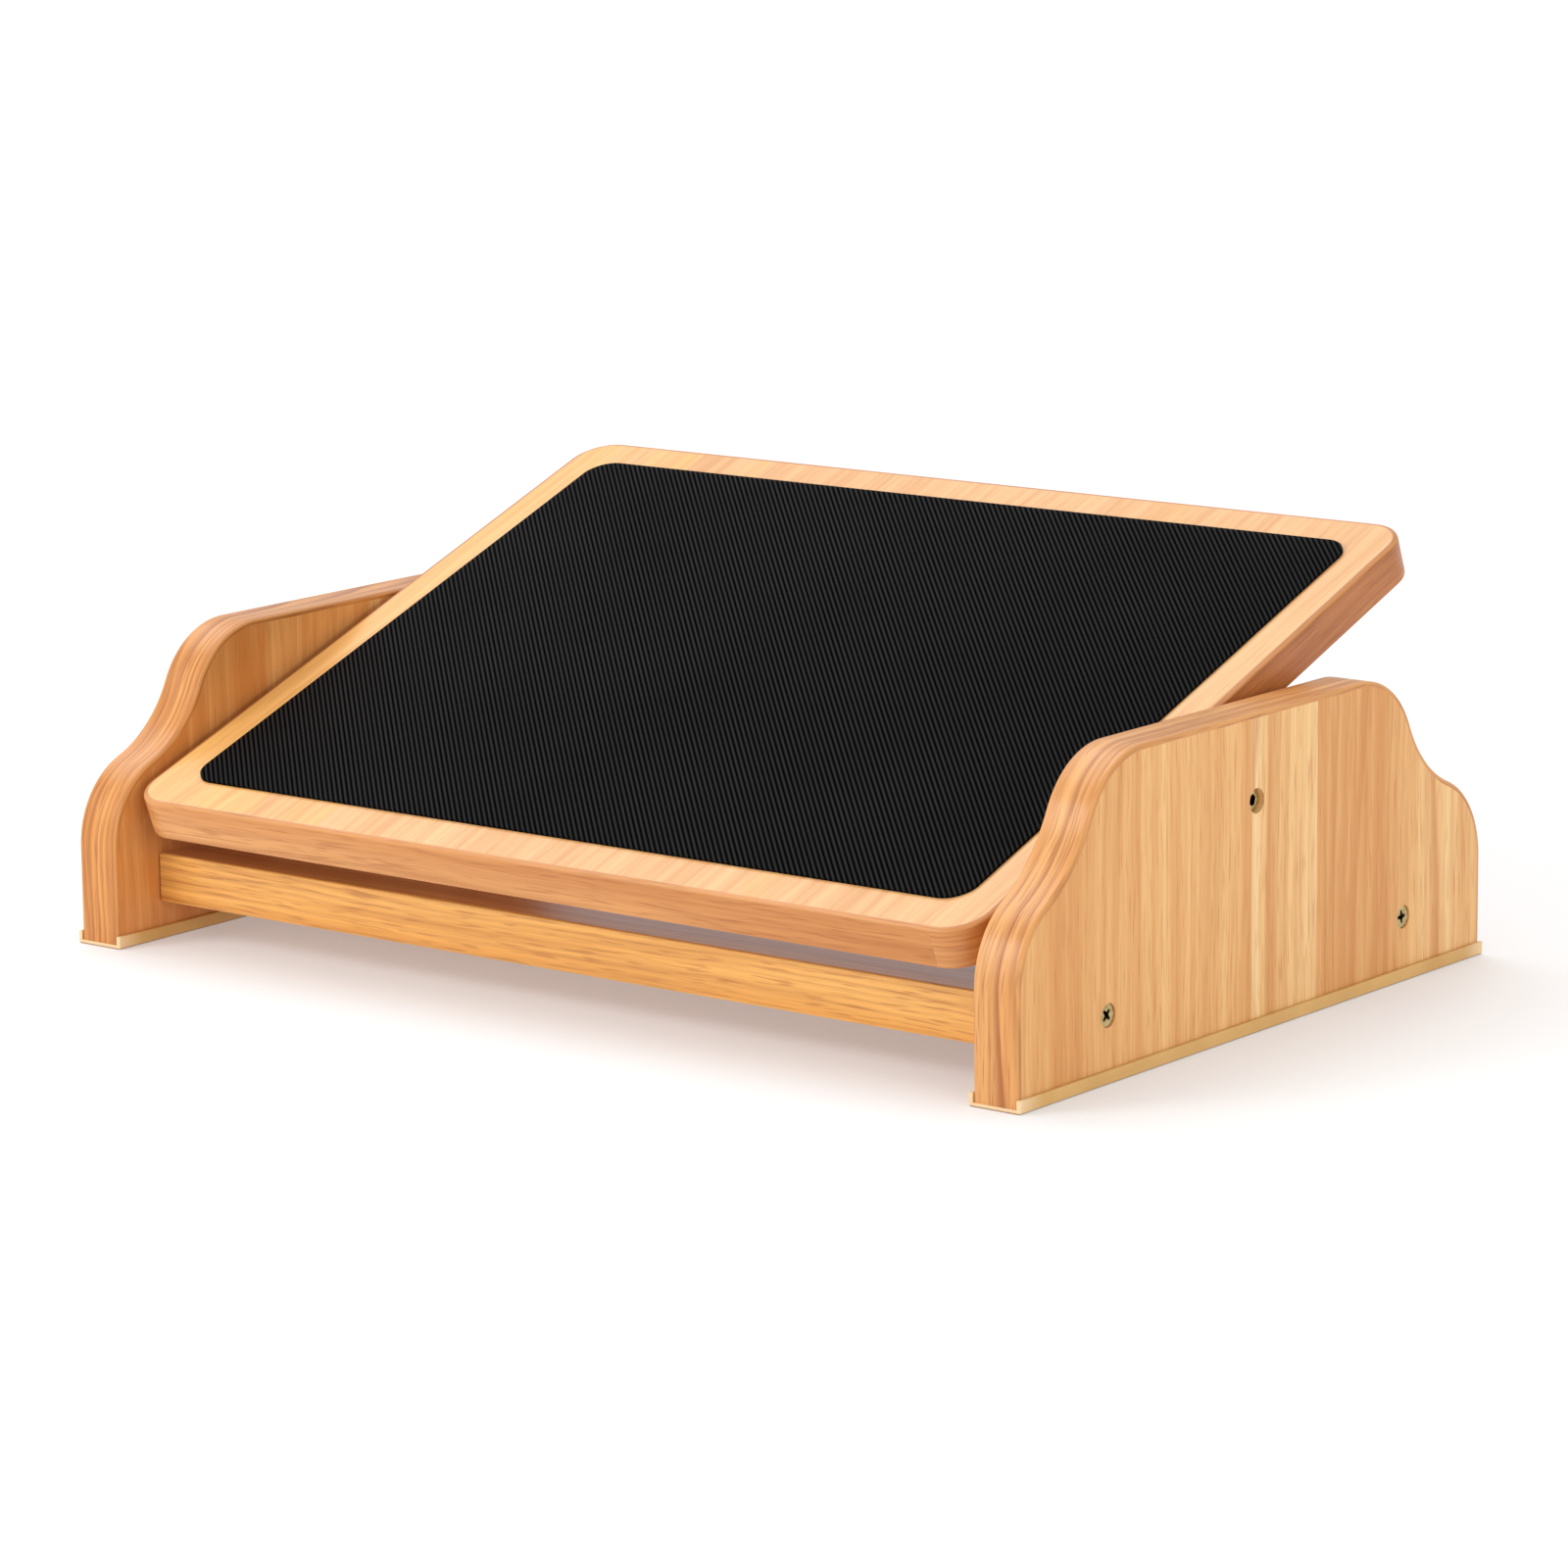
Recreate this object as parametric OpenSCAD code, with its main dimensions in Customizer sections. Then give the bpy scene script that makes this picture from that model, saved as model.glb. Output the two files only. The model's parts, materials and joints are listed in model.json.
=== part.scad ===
// Slant board: a tread board that tilts about a cross axis between two shaped side panels.
// +X is the right side, +Y the rear and +Z up. The origin is on the floor, at the footprint's centre.
// Lengths are in millimetres and angles in degrees.

/* [Base] */
// Width across the outer faces of the side panels
base_w = 446; // [442:1:470]
// Depth of the side panels, front to rear
base_d = 297; // [284:1:320]
// Height of the side panels above the floor
base_h = 117; // [115:1:122]
// Thickness of the side panels and of the rails
board_t = 19; // [18:0.5:20]
// Thickness of the edge bands
edge_t = 2; // [1:0.5:3]

/* [Side panel outline] */
// Radius of the low shoulder at the panel's front end
front_shoulder_r = 32.5; // [30:0.5:36]
// Radius of the hollow between the front shoulder and the crown
front_hollow_r = 65; // [58:0.5:68]
// Radius of the crown above the front hollow
front_crown_r = 36; // [30:0.5:38]
// Slope where the front shoulder runs into the hollow
front_shoulder_slope = 29.5; // [20:0.5:34]
// Slope where the front hollow runs into the crown
front_crown_slope = 63.5; // [58:0.5:66]
// Radius of the low shoulder at the panel's rear end
rear_shoulder_r = 34.5; // [30:0.5:35.5]
// Radius of the hollow between the rear shoulder and the crown
rear_hollow_r = 51; // [45:0.5:55]
// Radius of the crown above the rear hollow
rear_crown_r = 36; // [30:0.5:38]
// Slope where the rear shoulder runs into the hollow
rear_shoulder_slope = 21.5; // [17.5:0.5:30]
// Slope where the rear hollow runs into the crown
rear_crown_slope = 65; // [58:0.5:66]

/* [Foot strips] */
// Wall of the non-slip channel under each side panel
strip_t = 1.5; // [1:0.1:2]
// Height of the channel's lips above the floor
strip_h = 5; // [4:0.5:8]
// How far the channel runs past each end of the panel
strip_over = 0.5; // [0.5:0.5:3]

/* [Rails] */
// Width of the two rails, front to rear
rail_w = 60; // [54:1:64]
// Distance of each rail's middle from the middle of the base
rail_y = 95; // [90:1:100]
// Height of the rails' middle above the floor
rail_z = 24.2; // [22:0.1:28]

/* [Platform] */
// Width of the tread board
tread_w = 400; // [370:1:404]
// Length of the tread board along the slope
tread_l = 300; // [286:1:306]
// Thickness of the tread board
tread_t = 16; // [15:0.5:18]
// Corner radius of the tread board
tread_r = 16; // [8:0.5:24]
// Distance from the pivot axis to the tread board's front edge
tread_front = 142.5; // [138:0.5:146]
// Margin of bare board at each side of the mat
mat_side = 16.3; // [10:0.1:30]
// Margin of bare board in front of the mat
mat_front = 18.5; // [10:0.1:30]
// Margin of bare board behind the mat
mat_rear = 17.5; // [10:0.1:30]
// How far the mat lies to the right of the board's middle
mat_shift = 0.6; // [-3:0.1:3]
// Thickness of the ribbed mat
mat_t = 1.5; // [1:0.1:3]
// Corner radius of the mat
mat_r = 11; // [4:0.5:20]

/* [Pivot] */
// Distance of the pivot axis in front of the base's middle
pivot_ahead = 3; // [0:0.5:6]
// Height of the pivot axis above the floor
pivot_z = 84.8; // [82:0.1:88]
// Tilt of the tread board at rest, front edge down
tilt = 20.35; // [-20:0.05:24]
// Width of the batten under the tread board
batten_w = 60; // [50:1:64]
// Diameter of the pivot bolts
bolt_d = 5; // [4:0.5:6]
// Diameter of the pivot bolts' heads
bolt_head_d = 8.5; // [8:0.5:10]
// Radial running clearance of the bolts in their bushes
pivot_play = 0.05; // [0.02:0.01:0.1]

/* [Hidden] */
$fn = 96;

RIGHT = 1;
LEFT = -1;
FRONT = -1;
REAR = 1;

face_clear = 0.1;      // gap between flat faces that slide past each other
fit_clear = 0.01;      // radial gap between a pin or screw and the hole that it fills
cut = 1;               // how far a cutting shape runs past the face that it cuts
arc_overlap = 0.002;   // how far a hollow arc bites into its neighbours, so that they cross cleanly

inner_x = base_w / 2 - board_t;
panel_z = strip_t;     // the panels stand on the channels' webs
pivot_y = -pivot_ahead;

screw_d = 4.5;
screw_head_d = 8.8;
screw_l = 50;
screw_cone_h = 2.6;    // height of a countersunk head
screw_sink = 0.6;      // depth of the rail screws' heads below the panel's face
recess_w = 1.3;        // wing width of a cross recess
recess_span = 5;
recess_depth = 1.8;
front_right_turn = 45; // how far each rail screw's cross is turned
front_left_turn = 20;
rear_right_turn = 5;
rear_left_turn = 70;

dowel_d = 8;
dowel_l = 30;
dowel_in_panel = 12;
dowel_pitch = 36;      // the two dowels at a rail's end sit each side of its screw
dowel_end_gap = 0.3;

bolt_sink = 2;         // depth of the pivot bolts' heads below the panel's face
bolt_head_h = 5;
bolt_bore_d = bolt_d + 2 * pivot_play;
socket_af = 4;         // across the flats of the bolts' hexagon sockets
socket_depth = 2.6;
pocket_play = 0.35;     // radial room around a bolt's head in its pocket
pocket_d = bolt_head_d + 2 * pocket_play;
pocket_depth = bolt_sink + bolt_head_h;
bush_d = 8;
washer_d = 16;
washer_play = 0.2;      // radial room around a bolt in its spacer washer
washer_bore_d = bolt_d + 2 * washer_play;
insert_d = 8;
insert_l = 20;
bolt_reach = 18;       // length of bolt inside its threaded insert
insert_end_gap = 1;     // room past the bolt's end inside the insert

underside = board_t / 2;               // height of the tread board's underside above the axis
tread_top = underside + tread_t;
batten_screw_d = 4;
batten_screw_head_d = 8;
batten_screw_l = 29;
batten_screw_x = [-150, -60, 60, 150];

// Outline of a side panel

// Centres of one end's three arcs, [shoulder, hollow, crown], measured inwards from that end.
function arc_centres(shoulder_r, hollow_r, crown_r, shoulder_slope, crown_slope) =
    let (
        rise = (shoulder_r + hollow_r) * cos(shoulder_slope)
            - (hollow_r + crown_r) * cos(crown_slope) + crown_r,
        shoulder = [shoulder_r, base_h - rise],
        hollow = shoulder + (shoulder_r + hollow_r) * [-sin(shoulder_slope), cos(shoulder_slope)],
        crown = hollow + (hollow_r + crown_r) * [sin(crown_slope), -cos(crown_slope)]
    )
    [shoulder, hollow, crown];

// Half of a panel's outline, from one end at zero to the middle, drawn in by `inset` from its edge.
// The polygon runs through the arcs' centres, so each arc meets the next on a line between them.
module half_outline(shoulder_r, hollow_r, crown_r, shoulder_slope, crown_slope, inset, bottom) {
    c = arc_centres(shoulder_r, hollow_r, crown_r, shoulder_slope, crown_slope);
    top = base_h - inset;
    middle = base_d / 2;
    difference() {
        union() {
            polygon([
                [inset, bottom], [middle, bottom], [middle, top], [c[2].x, top],
                c[2], c[1], c[0], [inset, c[0].y]
            ]);
            translate(c[0]) circle(shoulder_r - inset);
            translate(c[2]) circle(crown_r - inset);
        }
        translate(c[1]) circle(hollow_r + inset + arc_overlap);
    }
}

// The whole outline. The left panel is the right one turned end for end.
module panel_outline(side, inset, bottom = panel_z) {
    scale([side, 1]) {
        translate([-base_d / 2, 0])
            half_outline(front_shoulder_r, front_hollow_r, front_crown_r,
                front_shoulder_slope, front_crown_slope, inset, bottom);
        translate([base_d / 2, 0]) mirror([1, 0])
            half_outline(rear_shoulder_r, rear_hollow_r, rear_crown_r,
                rear_shoulder_slope, rear_crown_slope, inset, bottom);
    }
}

// Placing

// Extrudes an outline drawn in Y and Z through a side panel's thickness.
module through_panel(side) {
    translate([side > 0 ? inner_x : -base_w / 2, 0, 0])
        rotate([90, 0, 90]) linear_extrude(board_t) children();
}

// Puts a shape drawn along +Z on a panel's outer face, pointing outwards, at height z and depth y.
module on_outer_face(side, y, z) {
    translate([side * base_w / 2, y, z]) rotate([0, side * 90, 0]) children();
}

// Puts the moving parts, drawn with the pivot axis at the origin, in their place and tilt.
module on_pivot() {
    translate([0, pivot_y, pivot_z]) rotate([tilt, 0, 0]) children();
}

module rounded_rect(w, l, r) {
    square([w - 2 * r, l], center = true);
    square([w, l - 2 * r], center = true);
    for (x = [-1, 1], y = [-1, 1]) {
        translate([x * (w / 2 - r), y * (l / 2 - r)]) circle(r);
    }
}

// Fasteners, drawn with their heads' tops at zero and pointing down

module countersunk_screw(d, head_d, l, play = 0) {
    straight = 0.3;
    translate([0, 0, -straight]) cylinder(h = straight, d = head_d + 2 * play);
    translate([0, 0, -straight - screw_cone_h])
        cylinder(h = screw_cone_h, d1 = d + 2 * play, d2 = head_d + 2 * play);
    translate([0, 0, -l]) cylinder(h = l - straight - screw_cone_h + fit_clear, d = d + 2 * play);
}

module cross_recess(turn) {
    for (a = [0, 90]) {
        rotate(a + turn) translate([0, 0, -recess_depth / 2 + cut / 2])
            cube([recess_w, recess_span, recess_depth + cut], center = true);
    }
}

module wood_screw(d, head_d, l, turn) {
    difference() {
        countersunk_screw(d, head_d, l);
        cross_recess(turn);
    }
}

// Side panels

module panel_holes(side) {
    for (end = [FRONT, REAR]) {
        on_outer_face(side, end * rail_y, rail_z) {
            translate([0, 0, -screw_sink])
                countersunk_screw(screw_d, screw_head_d, screw_l, fit_clear);
            translate([0, 0, -screw_sink])
                cylinder(h = screw_sink + cut, d = screw_head_d + 2 * fit_clear);
        }
        dowel_holes(side, end);
    }
    on_outer_face(side, pivot_y, pivot_z) {
        translate([0, 0, -pocket_depth]) cylinder(h = pocket_depth + cut, d = pocket_d);
        translate([0, 0, -board_t - cut]) cylinder(h = board_t, d = bush_d + 2 * fit_clear);
    }
}

module dowel_holes(side, end) {
    hole_l = dowel_l + 2 * dowel_end_gap;
    hole_x = side * (inner_x + dowel_in_panel + dowel_end_gap);
    for (s = [-1, 1]) {
        translate([hole_x, end * rail_y + s * dowel_pitch / 2, rail_z])
            rotate([0, -side * 90, 0]) cylinder(h = hole_l, d = dowel_d + 2 * fit_clear);
    }
}

module side_panel(side) {
    color("burlywood") difference() {
        through_panel(side) panel_outline(side, edge_t);
        panel_holes(side);
    }
}

module panel_edge_band(side) {
    color("peru") through_panel(side) difference() {
        panel_outline(side, 0);
        panel_outline(side, edge_t, panel_z - cut);
    }
}

module foot_strip(side) {
    length = base_d + 2 * strip_over;
    color("khaki") translate([side * (base_w - board_t) / 2, 0, 0]) difference() {
        translate([0, 0, strip_h / 2])
            cube([board_t + 2 * strip_t, length, strip_h], center = true);
        translate([0, 0, strip_t + strip_h / 2])
            cube([board_t, length + 2 * cut, strip_h], center = true);
    }
}

// Rails and what joins them to the panels

module rail(end) {
    color("sandybrown") difference() {
        translate([0, end * rail_y, rail_z])
            cube([2 * inner_x, rail_w - 2 * edge_t, board_t], center = true);
        for (side = [LEFT, RIGHT]) {
            dowel_holes(side, end);
            on_outer_face(side, end * rail_y, rail_z)
                translate([0, 0, -screw_sink - screw_l])
                    cylinder(h = screw_l, d = screw_d + 2 * fit_clear);
        }
    }
}

// The two bands along a board's front and rear edges, centred on that board.
module long_edge_bands(length, width) {
    color("goldenrod") for (s = [-1, 1]) {
        translate([0, s * (width - edge_t) / 2, 0]) cube([length, edge_t, board_t], center = true);
    }
}

module rail_edge_bands(end) {
    translate([0, end * rail_y, rail_z]) long_edge_bands(2 * inner_x, rail_w);
}

module rail_screw(side, end, turn) {
    color("darkkhaki") on_outer_face(side, end * rail_y, rail_z)
        translate([0, 0, -screw_sink]) wood_screw(screw_d, screw_head_d, screw_l, turn);
}

module rail_dowels(end) {
    color("wheat") for (side = [LEFT, RIGHT], s = [-1, 1]) {
        translate([side * (inner_x + dowel_in_panel), end * rail_y + s * dowel_pitch / 2, rail_z])
            rotate([0, -side * 90, 0]) cylinder(h = dowel_l, d = dowel_d);
    }
}

// Pivot parts that stay with the base

module pivot_bush(side) {
    color("gold") on_outer_face(side, pivot_y, pivot_z) translate([0, 0, -board_t]) difference() {
        cylinder(h = board_t - pocket_depth, d = bush_d);
        translate([0, 0, -cut]) cylinder(h = board_t, d = bolt_bore_d);
    }
}

module spacer_washer(side) {
    gap = inner_x - tread_w / 2;
    color("whitesmoke") on_outer_face(side, pivot_y, pivot_z)
        translate([0, 0, -board_t - gap + face_clear]) difference() {
            cylinder(h = gap - face_clear, d = washer_d);
            translate([0, 0, -cut]) cylinder(h = gap + 2 * cut, d = washer_bore_d);
        }
}

// Platform

module tread_outline(inset) {
    translate([0, tread_l / 2 - tread_front])
        rounded_rect(tread_w - 2 * inset, tread_l - 2 * inset, tread_r - inset);
}

module batten_screw_places() {
    for (x = batten_screw_x) {
        translate([x, 0, -board_t / 2 + screw_sink]) rotate([180, 0, 0]) children();
    }
}

module batten_screw_holes() {
    batten_screw_places() {
        countersunk_screw(batten_screw_d, batten_screw_head_d, batten_screw_l, fit_clear);
        cylinder(h = screw_sink + cut, d = batten_screw_head_d + 2 * fit_clear);
    }
}

module platform_board() {
    color("bisque") on_pivot() difference() {
        translate([0, 0, underside]) linear_extrude(tread_t) tread_outline(edge_t);
        batten_screw_holes();
    }
}

module platform_edge_band() {
    color("sandybrown") on_pivot() translate([0, 0, underside]) linear_extrude(tread_t) difference() {
        tread_outline(0);
        tread_outline(edge_t);
    }
}

module tread_mat() {
    mat_l = tread_l - mat_front - mat_rear;
    color([0.08, 0.08, 0.09]) on_pivot()
        translate([mat_shift, mat_front + mat_l / 2 - tread_front, tread_top])
            linear_extrude(mat_t) rounded_rect(tread_w - 2 * mat_side, mat_l, mat_r);
}

module pivot_batten() {
    color("burlywood") on_pivot() difference() {
        cube([tread_w, batten_w - 2 * edge_t, board_t], center = true);
        batten_screw_holes();
        for (side = [LEFT, RIGHT]) {
            translate([side * (tread_w / 2 - insert_l), 0, 0])
                rotate([0, side * 90, 0]) cylinder(h = insert_l + cut, d = insert_d + 2 * fit_clear);
        }
    }
}

module batten_edge_bands() {
    on_pivot() long_edge_bands(tread_w, batten_w);
}

module batten_screws() {
    color("darkkhaki") on_pivot() batten_screw_places()
        wood_screw(batten_screw_d, batten_screw_head_d, batten_screw_l, 0);
}

module pivot_bolt(side) {
    head_top = base_w / 2 - bolt_sink + face_clear;
    head_under = head_top - bolt_head_h;
    bolt_end = tread_w / 2 - bolt_reach;
    color("darkkhaki") on_pivot() rotate([0, side * 90, 0]) difference() {
        union() {
            translate([0, 0, head_under]) cylinder(h = bolt_head_h, d = bolt_head_d);
            translate([0, 0, bolt_end]) cylinder(h = head_under - bolt_end + fit_clear, d = bolt_d);
        }
        translate([0, 0, head_top - socket_depth])
            cylinder(h = socket_depth + cut, d = socket_af / cos(30), $fn = 6);
    }
}

module threaded_insert(side) {
    color("gold") on_pivot() rotate([0, side * 90, 0])
        translate([0, 0, tread_w / 2 - insert_l]) difference() {
            cylinder(h = insert_l, d = insert_d);
            translate([0, 0, insert_l - bolt_reach - insert_end_gap])
                cylinder(h = bolt_reach + insert_end_gap + cut, d = bolt_d + 2 * fit_clear);
        }
}

side_panel(RIGHT);  // right_side_panel
side_panel(LEFT);  // left_side_panel
panel_edge_band(RIGHT);  // right_panel_edge_band
panel_edge_band(LEFT);  // left_panel_edge_band
foot_strip(RIGHT);  // right_foot_strip
foot_strip(LEFT);  // left_foot_strip
rail(FRONT);  // front_rail
rail(REAR);  // rear_rail
rail_edge_bands(FRONT);  // front_rail_edge_bands
rail_edge_bands(REAR);  // rear_rail_edge_bands
rail_screw(RIGHT, FRONT, front_right_turn);  // front_right_screw
rail_screw(LEFT, FRONT, front_left_turn);  // front_left_screw
rail_screw(RIGHT, REAR, rear_right_turn);  // rear_right_screw
rail_screw(LEFT, REAR, rear_left_turn);  // rear_left_screw
rail_dowels(FRONT);  // front_rail_dowels
rail_dowels(REAR);  // rear_rail_dowels
pivot_bush(RIGHT);  // right_pivot_bush
pivot_bush(LEFT);  // left_pivot_bush
spacer_washer(RIGHT);  // right_spacer_washer
spacer_washer(LEFT);  // left_spacer_washer
platform_board();
platform_edge_band();
tread_mat();
pivot_batten();
batten_edge_bands();
batten_screws();
pivot_bolt(RIGHT);  // right_pivot_bolt
pivot_bolt(LEFT);  // left_pivot_bolt
threaded_insert(RIGHT);  // right_threaded_insert
threaded_insert(LEFT);  // left_threaded_insert
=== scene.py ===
"""Looks of the slant board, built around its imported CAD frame. Metres, with +X right and +Y rear."""

import json
import math

import bmesh
import bpy
from mathutils import Matrix, Vector


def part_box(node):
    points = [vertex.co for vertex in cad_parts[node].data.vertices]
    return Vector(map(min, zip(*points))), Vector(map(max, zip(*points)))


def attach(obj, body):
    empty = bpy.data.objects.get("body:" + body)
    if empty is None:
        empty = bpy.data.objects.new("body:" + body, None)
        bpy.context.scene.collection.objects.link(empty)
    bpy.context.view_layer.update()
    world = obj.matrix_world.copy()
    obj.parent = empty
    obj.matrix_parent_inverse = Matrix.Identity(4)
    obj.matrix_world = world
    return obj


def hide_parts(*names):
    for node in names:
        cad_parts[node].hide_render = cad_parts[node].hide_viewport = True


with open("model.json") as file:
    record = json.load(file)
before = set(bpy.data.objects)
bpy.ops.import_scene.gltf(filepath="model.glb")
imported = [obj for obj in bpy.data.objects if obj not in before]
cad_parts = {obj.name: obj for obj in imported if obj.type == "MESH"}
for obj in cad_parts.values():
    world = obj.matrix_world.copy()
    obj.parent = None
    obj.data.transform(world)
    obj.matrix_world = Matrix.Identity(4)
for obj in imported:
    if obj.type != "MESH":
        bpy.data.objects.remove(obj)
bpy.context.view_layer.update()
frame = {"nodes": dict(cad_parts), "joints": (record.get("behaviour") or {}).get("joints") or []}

MM = 0.001
RIGHT, LEFT = 1, -1

HINGE = Vector(frame["joints"][0]["pos_m"])
TILT = math.radians(20.35)      # slope of the platform at rest
ON_PLATFORM = Matrix.Translation(HINGE) @ Matrix.Rotation(TILT, 4, "X")

# Side panel outlines: shoulder, hollow and crown radii, then the slopes where one runs into the next.
FRONT_ARCS = (32.5 * MM, 65 * MM, 36 * MM, math.radians(29.5), math.radians(63.5))
REAR_ARCS = (34.5 * MM, 51 * MM, 36 * MM, math.radians(21.5), math.radians(65))
BAND_T = 2 * MM                 # thickness of every edge band
TREAD_CORNER = 16 * MM
MAT_CORNER = 11 * MM
SUPPORT = 1 * MM                # how far past a curve a line gets one more point, to keep it straight


# ---------------------------------------------------------------- camera, light and floor

def make_camera():
    """The camera that the photo's straight edges were fitted with."""
    yaw, pitch, roll = (math.radians(a) for a in (38.294, 11.516, -0.609))
    aim = Vector((0.00566, 0, 0.06481))
    distance = 2.2756
    back = Vector((math.sin(yaw) * math.cos(pitch), -math.cos(yaw) * math.cos(pitch), math.sin(pitch)))
    level = Vector((math.cos(yaw), math.sin(yaw), 0))
    upright = back.cross(level)
    right = math.cos(roll) * level + math.sin(roll) * upright
    up = math.cos(roll) * upright - math.sin(roll) * level
    place = Matrix((right, up, back)).transposed().to_4x4()
    place.translation = aim + back * distance
    data = bpy.data.cameras.new("camera")
    data.lens = 137.49
    data.sensor_width = 36
    data.clip_start, data.clip_end = 0.05, 50
    camera = bpy.data.objects.new("camera", data)
    camera.matrix_world = place
    bpy.context.scene.collection.objects.link(camera)
    bpy.context.scene.camera = camera


TENT_STRENGTH = 0.79
SUN_STRENGTH, SUN_SPREAD, SUN_HEADING = 1.1, math.radians(50), Vector((0.45, -0.2, -0.85))
AREA_LIGHTS = (                 # name, place, aim, size and power
    ("fill_front", (-0.9, -2.4, 0.7), (0, 0, 0.03), (1.2, 0.9), 10),
    ("fill_right", (2.2, -0.9, 0.4), (0, 0, 0.06), (1.0, 0.6), 8),
    ("glint", (-1.05, -1.53, 1.2), (0.1, -0.05, 0.07), (0.7, 0.7), 10),
)
FLOOR_HALF = 14.0


def add_light(name, kind, power, heading, place=(0, 0, 0)):
    """Adds a light that shines along a heading, and returns its settings."""
    data = bpy.data.lights.new(name, kind)
    data.energy = power
    light = bpy.data.objects.new(name, data)
    light.location = place
    light.rotation_mode = "QUATERNION"
    light.rotation_quaternion = heading.to_track_quat("-Z", "Y")
    bpy.context.scene.collection.objects.link(light)
    return data


def make_studio():
    """A white tent and a white floor, with soft light from above and a little from each visible side."""
    scene = bpy.context.scene
    scene.view_settings.view_transform = "Standard"
    scene.view_settings.look = "None"
    world = bpy.data.worlds.new("white_tent")
    world.use_nodes = True
    tent = world.node_tree.nodes["Background"]
    tent.inputs["Color"].default_value = (1, 1, 1, 1)
    tent.inputs["Strength"].default_value = TENT_STRENGTH
    scene.world = world
    add_light("soft_above", "SUN", SUN_STRENGTH, SUN_HEADING).angle = SUN_SPREAD
    for name, place, aim, size, power in AREA_LIGHTS:
        data = add_light(name, "AREA", power, Vector(aim) - Vector(place), place)
        data.shape = "RECTANGLE"
        data.size, data.size_y = size

    paper = Shape()
    span = (-FLOOR_HALF, FLOOR_HALF)
    paper.skin([[Vector((x, y, 0)) for x in span] for y in span], ring_closed=False)
    floor = paper.object("floor", floor_material())


# ---------------------------------------------------------------- mesh building

class Shape:
    """A mesh in the making. Each face corner holds where it lies along and across the grain, and a mark."""

    def __init__(self):
        self.points, self.faces, self.grain = [], [], []

    def skin(self, rings, along=None, across=None, marks=None, ring_closed=True, path_closed=False,
             caps=True):
        """Joins rings of points, one after the other, into one surface.

        along has a number for each ring, and across and marks have one for each point of a ring. Where the
        path or the ring is closed, along and across hold one more, for the point where it closes.
        """
        start = len(self.points)
        count, size = len(rings), len(rings[0])
        along = along or [0] * (count + 1)
        across = across or [0] * (size + 1)
        marks = marks or [0] * size
        for ring in rings:
            self.points += [Vector(p) for p in ring]
        for i in range(count if path_closed else count - 1):
            for j in range(size if ring_closed else size - 1):
                corners = ((i, j), (i + 1, j), (i + 1, j + 1), (i, j + 1))
                self.faces.append([start + (a % count) * size + b % size for a, b in corners])
                self.grain += [(along[a], across[b], marks[b % size]) for a, b in corners]
        if caps and ring_closed and not path_closed:
            for i, order in ((0, range(size)), (count - 1, range(size - 1, -1, -1))):
                self.faces.append([start + i * size + j for j in order])
                self.grain += [(along[i], across[j], marks[j]) for j in order]

    def object(self, name, material, body=None, replaces=(), place=None, smooth=35):
        """Turns the shape into an object, riding on a CAD body."""
        if place:
            self.points = [place @ p for p in self.points]
        mesh = bpy.data.meshes.new(name)
        mesh.from_pydata(self.points, [], self.faces)
        mesh.materials.append(material)
        layer = mesh.attributes.new("grain", "FLOAT_VECTOR", "CORNER")
        layer.data.foreach_set("vector", [v for corner in self.grain for v in corner])
        turn_outward(mesh)
        mesh.shade_smooth()
        mesh.set_sharp_from_angle(angle=math.radians(smooth))
        mesh.validate()
        piece = bpy.data.objects.new(name, mesh)
        bpy.context.scene.collection.objects.link(piece)
        if body:
            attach(piece, body)
        if replaces:
            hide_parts(*replaces)
        return piece


def turn_outward(mesh):
    """Makes every face of a closed mesh look outwards."""
    work = bmesh.new()
    work.from_mesh(mesh)
    bmesh.ops.recalc_face_normals(work, faces=work.faces)
    work.to_mesh(mesh)
    work.free()


def lengths(points, closed=False):
    """Distance run at each point of a line, with one more for its end where it is closed."""
    total, found = 0.0, [0.0]
    pairs = zip(points, points[1:] + points[:1] if closed else points[1:])
    for a, b in pairs:
        total += (Vector(b) - Vector(a)).length
        found.append(total)
    return found


def arc(centre, radius, start, end, steps):
    """Points on an arc in a plane, angles in degrees."""
    found = []
    for i in range(steps + 1):
        a = math.radians(start + (end - start) * i / steps)
        found.append((centre[0] + radius * math.cos(a), centre[1] + radius * math.sin(a)))
    return found


# ---------------------------------------------------------------- materials

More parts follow.
